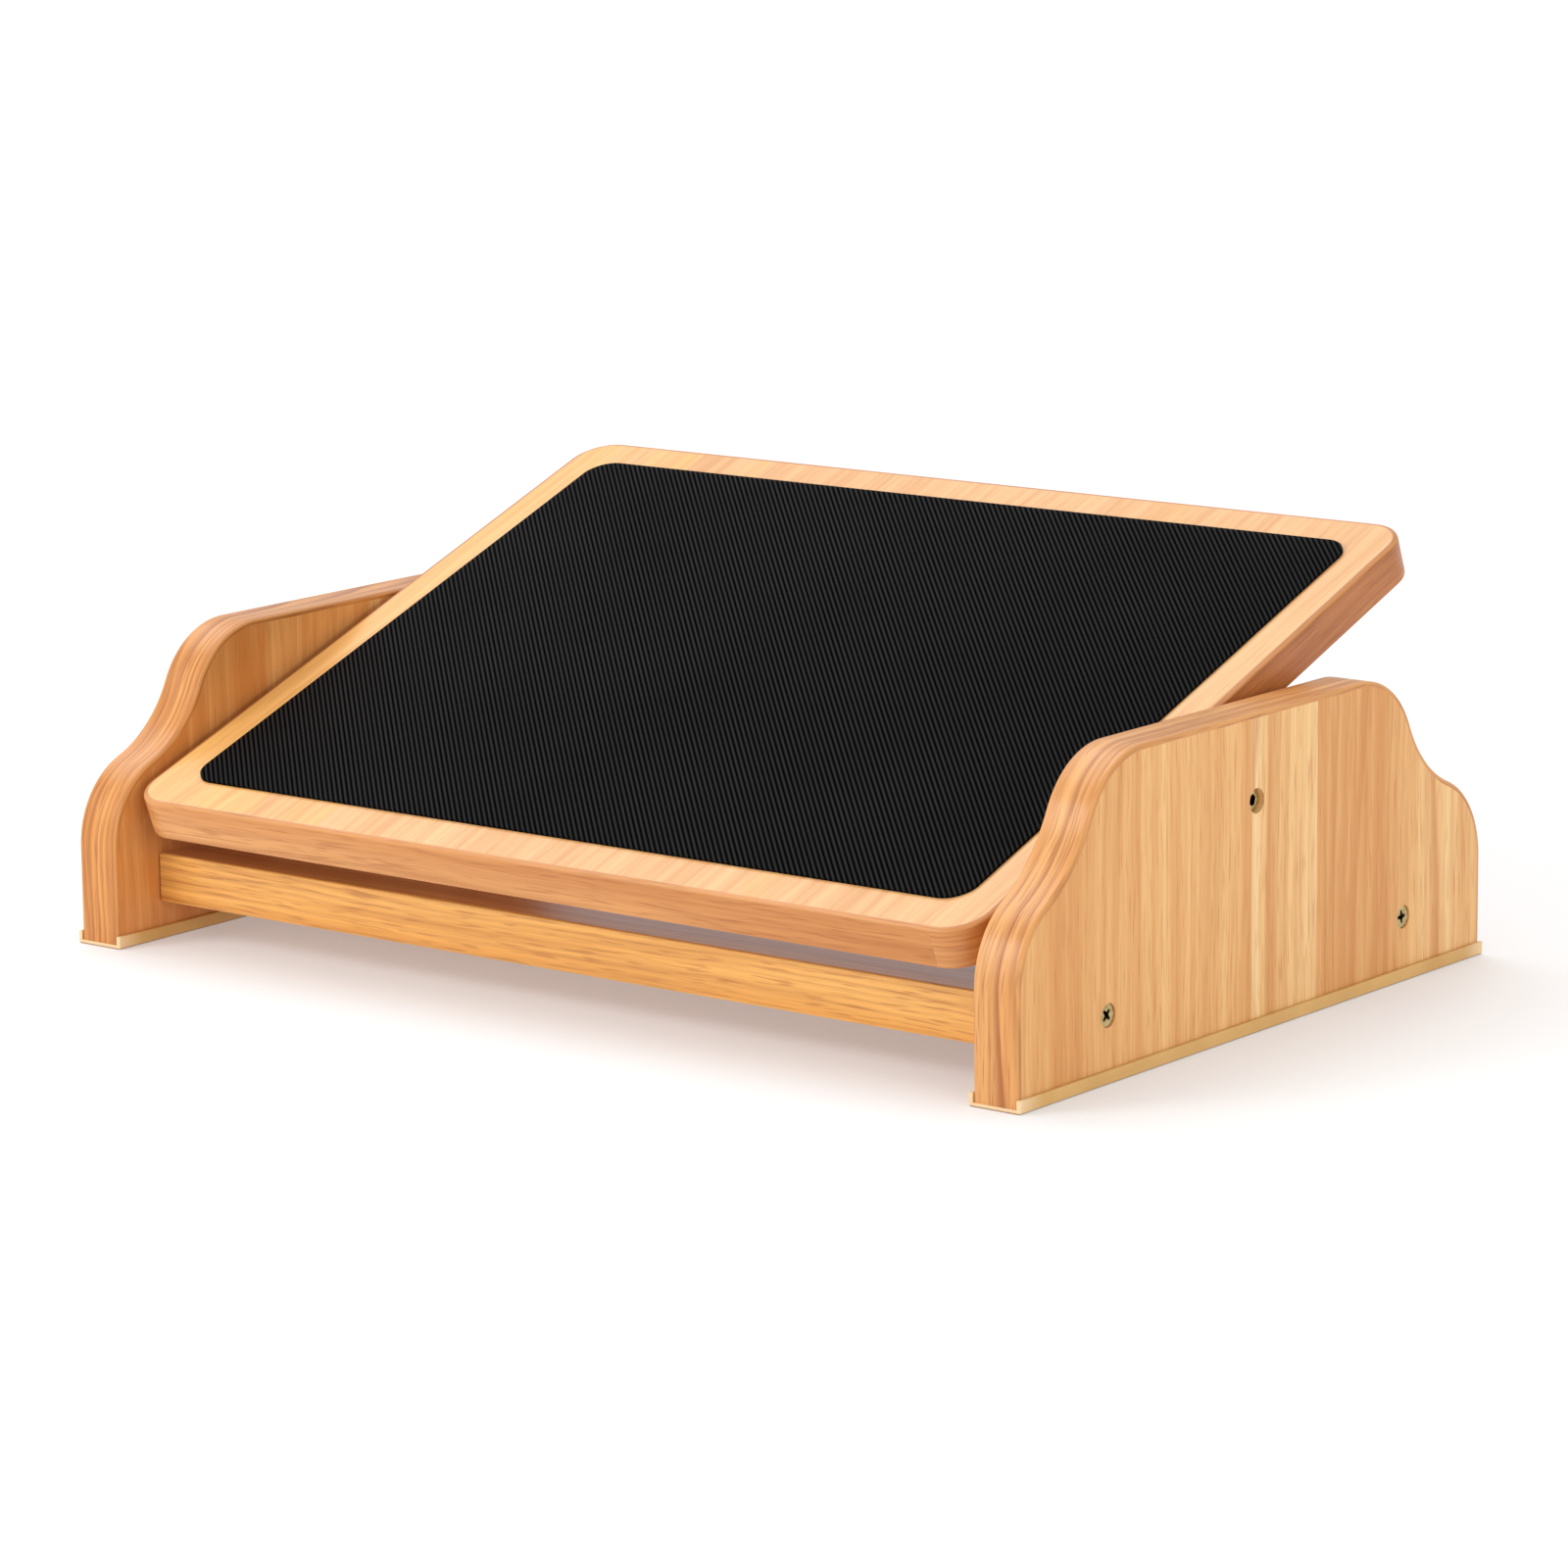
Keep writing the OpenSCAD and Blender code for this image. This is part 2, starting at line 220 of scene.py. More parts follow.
class Graph:
    """A node material, with short ways to add what the looks here are made of."""

    def __init__(self, name):
        self.material = bpy.data.materials.new(name)
        self.material.use_nodes = True
        self.tree = self.material.node_tree
        self.shader = self.tree.nodes["Principled BSDF"]

    def put(self, socket, value):
        if isinstance(value, bpy.types.NodeSocket):
            self.tree.links.new(value, socket)
        elif isinstance(value, tuple) and len(value) == 3 and socket.type == "RGBA":
            socket.default_value = (*value, 1)
        else:
            socket.default_value = value

    def node(self, kind, inputs=None, **settings):
        made = self.tree.nodes.new("ShaderNode" + kind)
        for key, value in settings.items():
            setattr(made, key, value)
        for key, value in (inputs or {}).items():
            self.put(made.inputs[key], value)
        return made

    def set(self, **inputs):
        for key, value in inputs.items():
            self.put(self.shader.inputs[key.replace("_", " ")], value)

    def maths(self, operation, a, b=0.0, clamp=False):
        return self.node("Math", {0: a, 1: b}, operation=operation, use_clamp=clamp).outputs[0]

    def times(self, a, b, clamp=False):
        return self.maths("MULTIPLY", a, b, clamp)

    def split(self, vector):
        """A vector's three parts, by their letters."""
        return self.node("SeparateXYZ", {0: vector}).outputs

    def join(self, x=0.0, y=0.0, z=0.0):
        return self.node("CombineXYZ", {0: x, 1: y, 2: z}).outputs[0]

    def place(self):
        """Where a point lies in the frame, in metres."""
        return self.node("TexCoord").outputs["Object"]

    def scaled(self, vector, factors):
        return self.node("VectorMath", {0: vector, 1: factors}, operation="MULTIPLY").outputs[0]

    def moved(self, vector, offset):
        return self.node("VectorMath", {0: vector, 1: offset}, operation="ADD").outputs[0]

    def noise(self, vector, factors, detail=2.0, roughness=0.5, distortion=0.0):
        """Noise from 0 to 1, with its own scale on each axis, in features per metre."""
        inputs = {"Vector": self.scaled(vector, factors), "Scale": 1.0, "Detail": detail,
                  "Roughness": roughness, "Distortion": distortion}
        return self.node("TexNoise", inputs).outputs["Fac"]

    def range(self, value, low, high, to_low=0.0, to_high=1.0):
        inputs = {"Value": value, "From Min": low, "From Max": high, "To Min": to_low, "To Max": to_high}
        return self.node("MapRange", inputs, clamp=True).outputs[0]

    def ramp(self, value, stops, mode="LINEAR"):
        made = self.node("ValToRGB", {"Fac": value})
        made.color_ramp.interpolation = mode
        elements = made.color_ramp.elements
        while len(elements) < len(stops):
            elements.new(0.5)
        for element, (place, colour) in zip(elements, stops):
            element.position = place
            element.color = (*colour, 1)
        return made.outputs["Color"]

    def mix(self, factor, a, b, mode="MIX"):
        made = self.node("Mix", data_type="RGBA", blend_type=mode, clamp_factor=True)
        self.put(made.inputs[0], factor)
        self.put(made.inputs[6], a)
        self.put(made.inputs[7], b)
        return made.outputs[2]

    def bump(self, height, distance, strength=1.0):
        inputs = {"Height": height, "Distance": distance, "Strength": strength}
        self.put(self.shader.inputs["Normal"], self.node("Bump", inputs).outputs[0])


def grain_on_mesh(g):
    """Grain of a swept piece, from the places stored on its mesh."""
    return g.node("Attribute", attribute_name="grain").outputs["Vector"]


def grain_in_object(g, along, across, tilted=False):
    """Grain of a straight board, from its place in the frame. Axes are given as letters."""
    place = g.place()
    if tilted:
        inputs = {"Vector": place, "Center": tuple(HINGE), "Angle": -TILT}
        place = g.node("VectorRotate", inputs, rotation_type="X_AXIS").outputs[0]
    parts = g.split(place)
    depth = ({"X", "Y", "Z"} - {along, across}).pop()
    return g.join(parts[along], parts[across], parts[depth])


def board_grain(along, across, tilted=False):
    return lambda g: grain_in_object(g, along, across, tilted)


# Scales of the layers in every wood, in features per metre along the grain, across it and into it.
WANDER, FIGURE, UNEVEN, PATCHES = (10, 9, 9), (1.6, 42, 42), (1.1, 19, 19), (1.7, 55, 55)
FIBRES, PORES = (5, 260, 260), (55, 1050, 1050)
SWAY = 6 * MM                   # how far the grain wanders sideways
STAVE_SHIFT = 7.3               # how far each stave's figure is slid along, times its depth of tone
ARRIS_HIGHLIGHT_SHARE = 0.3               # how much of the palest tone is painted on the rounded arrises as a highlight
DEEPER = (0.78, 0.66, 0.55)     # how much a darker length of band differs from the rest


def wood(name, grain, tones, streak, rings, ringing, fibre, pore, seed, staves=None, gloss=0.25):
    """Satin lacquered wood foil. Tones run from pale to deep, and streak is the colour of its dark lines.

    rings is how many growth rings cross a metre. ringing, fibre and pore say how strongly each shows, and
    gloss how much lacquer lies over them. staves holds where a board's staves begin and end across the
    grain, and for each its start, as a share of that width, and its depth of tone.
    """
    g = Graph(name)
    at = g.split(grain(g))
    along, across = at["X"], at["Y"]
    # a swept piece keeps its marks where a board keeps its depth
    marks, depth = (at["Z"], 0.0) if grain is grain_on_mesh else (None, at["Z"])
    stave = None
    if staves:
        first, last, stops = staves
        stave = g.ramp(g.range(across, first, last), [(p, (t, t, t)) for p, t in stops], "CONSTANT")
        along = g.maths("ADD", along, g.times(stave, STAVE_SHIFT))
    # each wood is cut from its own part of the noise
    at = g.moved(g.join(along, across, depth), (seed, seed * 0.37, seed * 0.71))
    # the grain wanders sideways along its length, and everything in it follows
    wave = g.noise(at, WANDER, 2.0, 0.5)
    at = g.moved(at, g.join(y=g.times(g.maths("SUBTRACT", wave, 0.5), SWAY)))
    across = g.split(at)["Y"]
    tone = g.range(g.noise(at, FIGURE, 2.0, 0.6), 0.3, 0.7)
    if stave:
        tone = g.maths("ADD", g.times(tone, 0.55), g.times(stave, 0.65), True)
    colour = g.ramp(tone, list(zip((0.0, 0.5, 1.0), tones)))

    # growth rings: each darkens slowly, ends sharply, and shows in patches
    uneven = g.times(g.noise(at, UNEVEN, 2.0, 0.55), rings * 0.11)
    saw = g.maths("FRACT", g.maths("ADD", g.times(across, rings), uneven))
    late = g.times(g.range(saw, 0.35, 0.9), g.range(saw, 0.9, 1.0, 1, 0))
    shown = g.range(g.noise(at, PATCHES, 1.0), 0.40, 0.66)
    colour = g.mix(g.times(g.times(late, shown), ringing), colour, streak)

    # fibres, dark and pale, then the pores
    fibres = g.noise(at, FIBRES, 4.0, 0.75)
    colour = g.mix(g.range(fibres, 0.44, 0.68, 0, fibre), colour, streak)
    colour = g.mix(g.range(fibres, 0.28, 0.46, fibre * 0.7, 0), colour, tones[0])
    pits = g.range(g.noise(at, PORES, 1.0, 0.5), 0.56, 0.68, 0, pore)
    colour = g.mix(pits, colour, streak)
    # marks above zero paint a highlight in the palest tone along the rounded arrises, marks below zero
    # deepen the tone
    if marks:
        colour = g.mix(g.times(marks, ARRIS_HIGHLIGHT_SHARE, True), colour, tones[0])
        colour = g.mix(g.times(marks, -1.0, True), colour, DEEPER, "MULTIPLY")
    g.set(Base_Color=colour, Roughness=g.range(fibres, 0.3, 0.8, 0.36, 0.5), IOR=1.46)
    g.set(Specular_IOR_Level=0.32, Coat_Weight=gloss, Coat_Roughness=0.22, Coat_IOR=1.5)
    g.bump(g.maths("SUBTRACT", g.times(fibres, 0.6), pits), 0.06 * MM, 0.6)
    return g.material


def rubber():
    """Black ribbed mat: the ribs are geometry, and this adds the moulded skin and a painted highlight along
    each rib's crest, patchy with noise.
    """
    g = Graph("ribbed_rubber")
    at = g.place()
    skin = g.noise(at, (2600, 2600, 2600), 2.0, 0.6)
    highlight_noise = g.noise(at, (14, 14, 14), 3.0, 0.6)
    highlight_patches = g.range(highlight_noise, 0.3, 0.7, 0.75, 1.0)
    crest_highlight = g.split(grain_on_mesh(g))["X"]
    # painted highlight: the rib crests are painted paler, in patches
    colour = g.mix(g.times(crest_highlight, highlight_patches), (0.0005, 0.0005, 0.0006), (0.026, 0.026, 0.0265))
    g.set(Base_Color=colour, Roughness=g.range(skin, 0.3, 0.7, 0.36, 0.52), Specular_IOR_Level=0.01)
    g.bump(skin, 0.08 * MM, 0.5)
    return g.material


def strip_vinyl():
    """Amber vinyl of the foot strips, a little translucent, with a painted glow at its cut ends and a
    painted contact shadow along the floor.
    """
    g = Graph("amber_vinyl")
    at = g.place()
    cloud = g.noise(at, (30, 30, 30), 3.0, 0.6)
    drawn = g.noise(at, (900, 6, 900), 2.0, 0.5)
    colour = g.mix(g.range(cloud, 0.3, 0.7), (0.62, 0.35, 0.10), (0.72, 0.44, 0.15))
    cut_end_glow = g.split(grain_on_mesh(g))["X"]
    # painted glow: the cut ends are painted paler, as if lit through the vinyl
    colour = g.mix(cut_end_glow, colour, (0.84, 0.60, 0.34))
    # painted contact shadow: the lowest 0.7 mm darkens to brown towards the floor
    foot = g.range(g.split(at)["Z"], 0.1 * MM, 0.7 * MM, 1, 0)
    colour = g.mix(foot, colour, (0.20, 0.08, 0.03))
    g.set(Base_Color=colour, Roughness=g.range(drawn, 0.3, 0.7, 0.32, 0.45), IOR=1.5)
    g.set(Subsurface_Weight=0.25, Subsurface_Radius=(1.0, 0.5, 0.15), Subsurface_Scale=2 * MM)
    g.bump(drawn, 0.04 * MM, 0.4)
    return g.material


def metal(name, light, dark, roughness, brushed):
    """Plated or turned metal, with tarnish and fine scratches, and painted shade darkening its recesses."""
    g = Graph(name)
    at = g.place()
    tarnish = g.noise(at, (420, 420, 420), 4.0, 0.65)
    scratch = g.noise(at, brushed, 2.0, 0.6)
    colour = g.mix(g.range(tarnish, 0.35, 0.7), light, dark)
    recess = g.split(grain_on_mesh(g))["X"]
    # painted shade: the marked recess faces are darkened to near black
    colour = g.mix(recess, colour, (0.02, 0.012, 0.006))
    g.set(Base_Color=colour, Metallic=1.0)
    g.set(Roughness=g.range(scratch, 0.3, 0.7, roughness - 0.07, roughness + 0.1))
    g.bump(g.maths("ADD", scratch, g.times(tarnish, 0.4)), 0.03 * MM, 0.5)
    return g.material


def nylon():
    """Off-white nylon of the washers, a little cloudy."""
    g = Graph("white_nylon")
    at = g.place()
    cloud = g.noise(at, (160, 160, 160), 3.0, 0.6)
    colour = g.mix(g.range(cloud, 0.3, 0.7), (0.78, 0.76, 0.70), (0.70, 0.67, 0.60))
    g.set(Base_Color=colour, Roughness=g.range(cloud, 0.3, 0.7, 0.36, 0.5))
    g.bump(g.noise(at, (1800, 1800, 1800), 2.0), 0.04 * MM, 0.4)
    return g.material


def floor_material():
    """White paper that glows a little, so that it burns out to white as in the photo."""
    g = Graph("white_paper")
    at = g.place()
    fibre = g.noise(at, (700, 700, 700), 3.0, 0.6)
    colour = g.mix(g.range(fibre, 0.3, 0.7), (0.675, 0.68, 0.685), (0.69, 0.695, 0.70))
    g.set(Base_Color=colour, Roughness=0.85, Specular_IOR_Level=0.2)
    g.set(Emission_Color=(1.0, 0.99, 0.985), Emission_Strength=0.26)
    return g.material


# Tones from pale to deep, and the colours of the dark lines in them.
HONEY = ((0.93, 0.66, 0.32), (0.83, 0.465, 0.17), (0.66, 0.28, 0.07))
PALE = ((0.80, 0.465, 0.20), (0.75, 0.39, 0.145), (0.86, 0.47, 0.13))
# painted shade: the left panel and its edge band use deeper, redder copies of HONEY and BAND
HONEY_IN_SHADE = ((0.88, 0.53, 0.21), (0.80, 0.38, 0.12), (0.66, 0.24, 0.056))
BAND = ((0.78, 0.40, 0.14), (0.68, 0.30, 0.085), (0.56, 0.21, 0.045))
BAND_IN_SHADE = ((0.78, 0.375, 0.115), (0.68, 0.28, 0.065), (0.56, 0.19, 0.035))
RIM = ((0.73, 0.36, 0.13), (0.64, 0.27, 0.08), (0.52, 0.185, 0.04))
RAIL = ((0.94, 0.54, 0.16), (0.87, 0.44, 0.11), (0.78, 0.34, 0.062))
BROWN = (0.36, 0.11, 0.025)
ORANGE = (0.55, 0.20, 0.04)

# Where a board's staves begin and end across its grain, then each one's start and depth of tone.
RIGHT_STAVES = (-0.15, 0.15, ((0.0, 0.5), (0.30, 0.3), (0.48, 0.0), (0.62, 0.9), (0.78, 0.6), (0.90, 0.25)))
LEFT_STAVES = (-0.15, 0.15, ((0.0, 0.95), (0.30, 0.5), (0.5, 0.1), (0.66, 0.8), (0.85, 0.4), (0.95, 0.2)))
TREAD_STAVES = (-0.2, 0.2, ((0.0, 1.0), (0.07, 0.8), (0.15, 0.45), (0.24, 0.0), (0.5, 0.1), (0.8, 0.0)))

WOODS = {
    "right_panel": wood("panel_board_right", board_grain("Z", "Y"), HONEY, ORANGE, rings=80,
                        ringing=0.6, fibre=0.45, pore=0.45, staves=RIGHT_STAVES, seed=0.3),
    # the left panel's wood is a shaded copy of the right one's, painted deeper
    "left_panel": wood("panel_board_left", board_grain("Z", "Y"), HONEY_IN_SHADE, ORANGE, rings=80,
                       ringing=0.75, fibre=0.5, pore=0.45, staves=LEFT_STAVES, seed=1.7),
    "right_edge": wood("panel_edge_right", grain_on_mesh, BAND, BROWN, rings=260,
                       ringing=1.0, fibre=0.6, pore=0.55, seed=2.9),
    "left_edge": wood("panel_edge_left", grain_on_mesh, BAND_IN_SHADE, BROWN, rings=260,
                      ringing=1.0, fibre=0.6, pore=0.55, seed=3.6),
    "rail": wood("rail_board", board_grain("X", "Y"), BAND, BROWN, rings=160,
                 ringing=0.6, fibre=0.4, pore=0.4, seed=4.1, gloss=0.9),
    "rail_edge": wood("rail_edge", grain_on_mesh, RAIL, BROWN, rings=210,
                      ringing=0.4, fibre=0.5, pore=0.45, seed=5.3),
    "batten": wood("batten_board", board_grain("X", "Y", True), BAND, BROWN, rings=160,
                   ringing=0.6, fibre=0.4, pore=0.4, seed=6.1),
    "tread": wood("tread_board", board_grain("Y", "X", True), PALE, ORANGE, rings=60,
                  ringing=0.4, fibre=0.45, pore=0.25, staves=TREAD_STAVES, seed=7.7),
    "tread_edge": wood("tread_edge", grain_on_mesh, RIM, BROWN, rings=200,
                       ringing=0.5, fibre=0.5, pore=0.45, seed=8.3),
    "dowel": wood("dowel_beech", grain_on_mesh, HONEY, BROWN, rings=200,
                  ringing=0.3, fibre=0.3, pore=0.3, seed=9.9),
}
BRASSY = metal("yellow_zinc", (0.62, 0.50, 0.25), (0.40, 0.30, 0.13), 0.32, (300, 2400, 2400))
BRASS = metal("turned_brass", (0.76, 0.58, 0.27), (0.60, 0.43, 0.17), 0.28, (2400, 500, 500))
NYLON = nylon()
STRIP = strip_vinyl()


# ---------------------------------------------------------------- edge bands

def band_section(half_width, depth, low_r, high_r, steps=6):
    """Section of a band as (drawn-in, sideways) points, from one arris round to the other.

    The second list marks the points on the rounded arrises, which are painted paler as a highlight.
    """
    flat = 0.15 * MM            # from an arris to the first point of the flat face
    points, arris_highlight = [], []
    for sign, r in ((-1, low_r), (1, high_r)):
        edge = [((depth, sign * half_width), 0.0)]
        for i in range(steps + 1):
            a = math.radians(90 * i / steps)
            mark = math.sin(2 * a)
            edge.append(((r - r * math.sin(a), sign * (half_width - r + r * math.cos(a))), mark))
        edge.append(((0.0, sign * (half_width - r - flat)), 0.0))
        edge = edge if sign < 0 else edge[::-1]
        points += [p for p, _ in edge]
        arris_highlight += [mark for _, mark in edge]
    return points, arris_highlight


def section_lengths(section):
    return lengths([Vector((a, b, 0)) for a, b in section], closed=True)


def end_outline(arcs, length, top, foot, front, inset):
    """One end of a side panel's outline in Y and Z, from its foot up to its crown."""
    shoulder_r, hollow_r, crown_r, low_slope, high_slope = arcs
    rise = ((shoulder_r + hollow_r) * math.cos(low_slope)
            - (hollow_r + crown_r) * math.cos(high_slope) + crown_r)
    shoulder = (shoulder_r, top - rise)
    hollow = (shoulder[0] - (shoulder_r + hollow_r) * math.sin(low_slope),
              shoulder[1] + (shoulder_r + hollow_r) * math.cos(low_slope))
    crown = (hollow[0] + (hollow_r + crown_r) * math.sin(high_slope),
             hollow[1] - (hollow_r + crown_r) * math.cos(high_slope))
    low, high = math.degrees(low_slope), math.degrees(high_slope)
    line = [(inset, foot), (inset, (foot + shoulder[1]) / 2), (inset, shoulder[1] - SUPPORT)]
    line += arc(shoulder, shoulder_r - inset, 180, 90 + low, 20)
    line += arc(hollow, hollow_r + inset, low - 90, high - 90, 16)[1:]
    line += arc(crown, crown_r - inset, 90 + high, 90, 20)[1:]
    line.append((crown[0] + SUPPORT, top - inset))
    return [(y - length / 2 if front else length / 2 - y, z) for y, z in line]


def panel_outline(side, inset):
    """A side panel's outline in Y and Z, from its front foot over the top to its rear foot."""
    lo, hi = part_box(side_name(side) + "_panel_edge_band")
    ends = (FRONT_ARCS, REAR_ARCS) if side == RIGHT else (REAR_ARCS, FRONT_ARCS)
    size = (hi.y - lo.y, hi.z, lo.z)
    front = end_outline(ends[0], *size, True, inset)
    rear = end_outline(ends[1], *size, False, inset)
    return front + rear[::-1]


def side_name(side):
    return "right" if side == RIGHT else "left"


def panel_edge_band(side):
    name = side_name(side) + "_panel_edge_band"
    lo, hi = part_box(name)
    middle, half = (lo.x + hi.x) / 2, (hi.x - lo.x) / 2
    arris = 1.3 * MM
    section, arris_highlight = band_section(half, BAND_T, arris, arris)
    lines = {inset: panel_outline(side, inset) for inset, _ in section}
    rings = [[Vector((middle + x, *lines[inset][i])) for inset, x in section]
             for i in range(len(lines[section[0][0]]))]
    outer = panel_outline(side, 0.0)
    along = lengths([Vector((0, y, z)) for y, z in outer])
    across = section_lengths(section)
    shape = Shape()
    own_length = side * 3.7     # each band's grain starts at its own place
    shape.skin(rings, [own_length + a for a in along], across, arris_highlight)
    shape.object(side_name(side) + "_edge_band", WOODS[side_name(side) + "_edge"], "base",
                 [name])


def rounded_outline(width, length, radius, centre_y, steps=12):
    """Rounded rectangle in X and Y, with points each side of every corner to keep its sides flat."""
    line = []
    for quarter, (sx, sy) in enumerate(((1, -1), (1, 1), (-1, 1), (-1, -1))):
        centre = (sx * (width / 2 - radius), centre_y + sy * (length / 2 - radius))
        start = -90 + 90 * quarter
        corner = arc(centre, radius, start, start + 90, steps)
        before, after = Vector(corner[0]), Vector(corner[-1])
        a, b = math.radians(start), math.radians(start + 90)
        line.append(tuple(before - SUPPORT * Vector((-math.sin(a), math.cos(a)))))
        line += corner
        line.append(tuple(after + SUPPORT * Vector((-math.sin(b), math.cos(b)))))
    return line


def tilted_box(node):
    """A CAD node's lowest and highest corners in the platform's own tilted frame."""
    undo = ON_PLATFORM.inverted()
    points = [undo @ v.co for v in frame["nodes"][node].data.vertices]
    return tuple(Vector([pick(p[i] for p in points) for i in range(3)]) for pick in (min, max))


def platform_edge_band():
    lo, hi = tilted_box("platform_edge_band")
    middle, half = (lo.z + hi.z) / 2, (hi.z - lo.z) / 2
    section, arris_highlight = band_section(half, BAND_T, 0.8 * MM, 1.6 * MM)
    centre_y = (lo.y + hi.y) / 2

    def line(inset):
        return rounded_outline(hi.x - lo.x - 2 * inset, hi.y - lo.y - 2 * inset,
                               TREAD_CORNER - inset, centre_y)

    lines = {inset: line(inset) for inset, _ in section}
    rings = [[Vector((*lines[inset][i], middle + z)) for inset, z in section]
             for i in range(len(lines[section[0][0]]))]
    along = lengths([Vector((x, y, 0)) for x, y in line(0.0)], closed=True)
    across = section_lengths(section)
    shape = Shape()
    shape.skin(rings, along, across, arris_highlight, path_closed=True)
    # the band darkens round the corners: its two side lengths are deeper than its front and rear ones
    for number, corner in enumerate(corner for face in shape.faces for corner in face):
        turned_in = max(0.0, 1 - (hi.x - abs(shape.points[corner].x)) / TREAD_CORNER)
        x, y, mark = shape.grain[number]
        shape.grain[number] = (x, y, mark if mark > 0.5 else -turned_in ** 2)
    shape.object("platform_rim_band", WOODS["tread_edge"], "platform",
                 ["platform_edge_band"], ON_PLATFORM)


# Where the grain of each straight board's first band begins, so that no two show the same figure.
GRAIN_STARTS = {"front": 11.3, "rear": 17.9, "batten": 23.1}


def straight_bands(shape, half_length, half_width, half_height, centre, start):
    """The two bands along the front and rear edges of a board that runs from side to side.

    start is where the first one's grain begins.
    """
    section, arris_highlight = band_section(half_height, BAND_T, 1.0 * MM, 0.9 * MM)
    apart = 1.9                 # the second one's grain begins this much further along
    across = section_lengths(section)
    steps = 8
    joint, eased, groove = 0.9 * MM, 0.5 * MM, 1.5 * MM
    for number, sign in enumerate((-1, 1)):
        # each end is eased back a little, which leaves the fine dark joint beside the panel
        ends = [(-half_length, groove), (eased - half_length, groove), (joint - half_length, 0.0)]
        ends += [(half_length * (2 * i / steps - 1), 0.0) for i in range(1, steps)]
        ends += [(half_length - joint, 0.0), (half_length - eased, groove), (half_length, groove)]
        rings = [[centre + Vector((x, sign * (half_width - min(inset + back, BAND_T)),
                                   z * (1 - back / half_height)))
                  for inset, z in section] for x, back in ends]
        shape.skin(rings, [start + number * apart + x for x, _ in ends], across, arris_highlight)


def rail_edge_bands(end):
    name = end + "_rail_edge_bands"
    lo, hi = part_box(name)
    half = (hi - lo) / 2
    shape = Shape()
    straight_bands(shape, *half, (lo + hi) / 2, GRAIN_STARTS[end])
    shape.object(end + "_rail_bands", WOODS["rail_edge"], "base", [name])


def batten_edge_bands():
    lo, hi = tilted_box("batten_edge_bands")
    half = [max(-a, b) for a, b in zip(lo, hi)]
    shape = Shape()
    straight_bands(shape, *half, Vector((0, 0, 0)), GRAIN_STARTS["batten"])
    shape.object("batten_bands", WOODS["rail_edge"], "platform", ["batten_edge_bands"],
                 ON_PLATFORM)


# ---------------------------------------------------------------- mat and foot strips

def tread_mat():
    """The ribbed mat. Lines run along the ribs, and each one's height follows the ribs' profile."""
    lo, hi = tilted_box("tread_mat")
    half = (hi - lo) / 2
    centre = (lo + hi) / 2
    pitch = 1.855 * MM
    rib_height = 0.75 * MM
    rim = 1.6 * MM                  # the ribs run out just short of the mat's edge
    rim_drop = 0.6                  # how far below the crests that rim lies, as a share of their height
    roundness, narrowness = 0.75, 4  # of a rib's profile, and of the painted highlight along its crest
    per_rib = 8                     # lines along each rib
    heading = math.radians(133.6)   # the ribs run aslant
    halvings, close = 34, 1e-7      # where the searches below stop
    run = Vector((math.cos(heading), math.sin(heading)))
    step = Vector((-run.y, run.x))
    reach = half.x * abs(step.x) + half.y * abs(step.y)

    def distance(p):
        """Distance outside the rounded rectangle, negative inside."""
        q = (abs(p.x) - half.x + MAT_CORNER, abs(p.y) - half.y + MAT_CORNER)
        outside = math.hypot(max(q[0], 0), max(q[1], 0))
        return outside + min(max(q), 0) - MAT_CORNER

    def end(base, direction):
        """Where a line from a point inside the mat meets its edge."""
        near, far = 0.0, 2 * (half.x + half.y)
        for _ in range(halvings):
            mid = (near + far) / 2
            if distance(base + direction * mid) < 0:
                near = mid
            else:
                far = mid
        return base + direction * near

    def start_point(offset):
        """A point inside the mat on the line at that offset, or None."""
        low, high = -2 * (half.x + half.y), 2 * (half.x + half.y)
        while high - low > close:
            third = (high - low) / 3
            a, b = low + third, high - third
            if distance(step * offset + run * a) < distance(step * offset + run * b):
                high = b
            else:
                low = a
        base = step * offset + run * (low + high) / 2
        return base if distance(base) < 0 else None

    place = Vector((centre.x, centre.y, 0))
    rim_z = hi.z - rib_height * rim_drop
    rings, painted_crest_lines = [], []
    count = int(reach / pitch * per_rib) + 1
    for i in range(-count, count + 1):
        base = start_point(i * pitch / per_rib)
        if base is None:
            continue
        phase = abs(math.cos(math.pi * i / per_rib))
        z = hi.z - rib_height * (1 - phase ** roundness)
        a, b = end(base, -run), end(base, run)
        fade = run * min(rim, (b - a).length / 3)
        line = ((a, lo.z), (a, rim_z), (a + fade, z), (b - fade, z), (b, rim_z), (b, lo.z))
        rings.append([place + Vector((p.x, p.y, height)) for p, height in line])
        # each line's share of the painted highlight along the rib's crest
        painted_crest_lines.append(phase ** narrowness)
    shape = Shape()
    shape.skin(rings, painted_crest_lines + [0])
    shape.object("ribbed_mat", rubber(), "platform", ["tread_mat"], ON_PLATFORM, 50)


